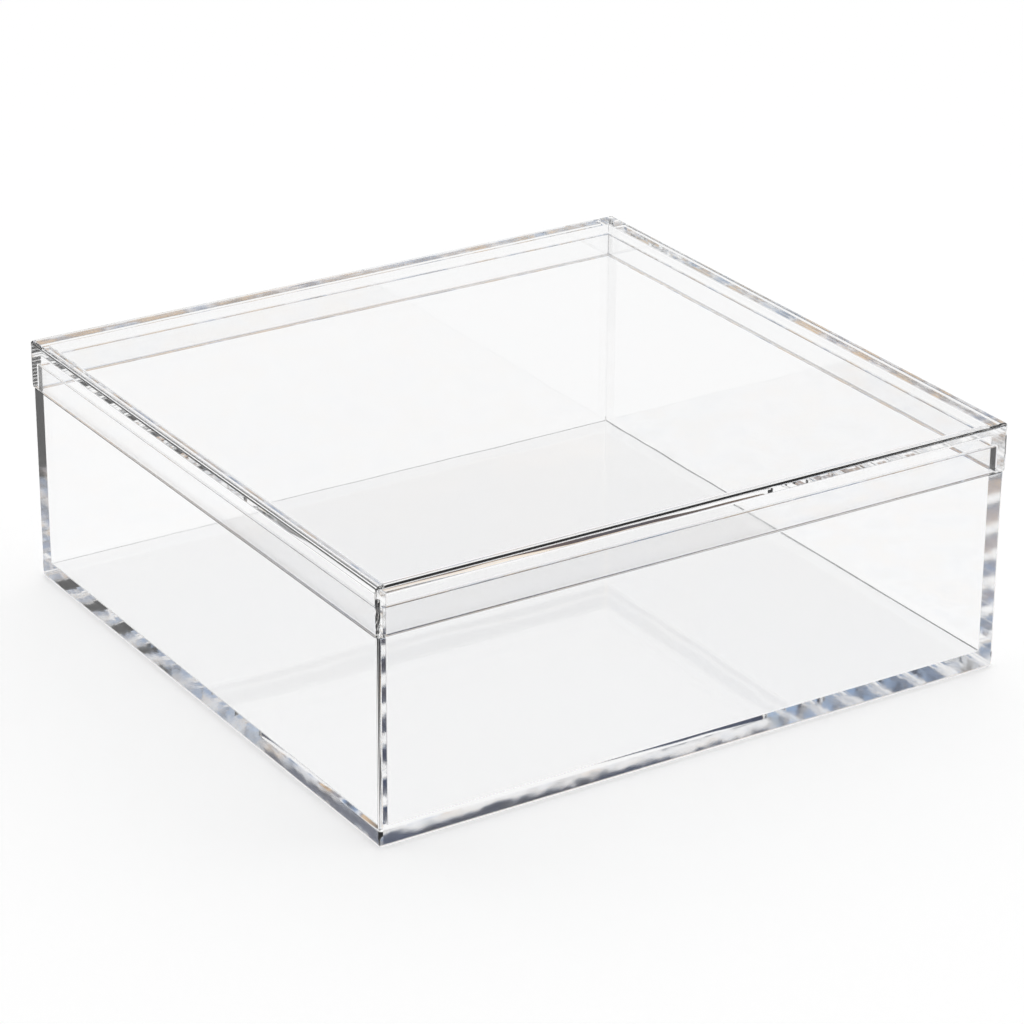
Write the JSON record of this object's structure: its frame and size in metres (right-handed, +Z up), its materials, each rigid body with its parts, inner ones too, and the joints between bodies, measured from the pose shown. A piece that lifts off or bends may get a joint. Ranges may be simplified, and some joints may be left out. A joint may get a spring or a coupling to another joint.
{
  "type": "acrylic storage box",
  "caption": "Low clear acrylic box with thick bonded walls and a lift-off lid whose rebated rims close over a thin neck on the walls.",
  "frame": {"origin": "middle of the underside, on the surface that the box stands on", "axes": "+Z up, the way the lid lifts off; +X along the wide front face; +Y from the front face to the back"},
  "size_m": [0.255, 0.249, 0.0944],
  "materials": {
    "clear_acrylic": "clear cast acrylic sheet with flame-polished edges"
  },
  "bodies": {
    "body": {"base_panel": "clear_acrylic", "front_wall": "clear_acrylic", "back_wall": "clear_acrylic", "left_wall": "clear_acrylic", "right_wall": "clear_acrylic"},
    "lid": {"lid_panel": "clear_acrylic", "lid_front_rim": "clear_acrylic", "lid_back_rim": "clear_acrylic", "lid_left_rim": "clear_acrylic", "lid_right_rim": "clear_acrylic"}
  },
  "joints": [
    {"name": "lid_lift", "type": "slide", "parent": "body", "child": "lid", "axis": [0, 0, 1], "range_m": [0, 0.06]}
  ]
}
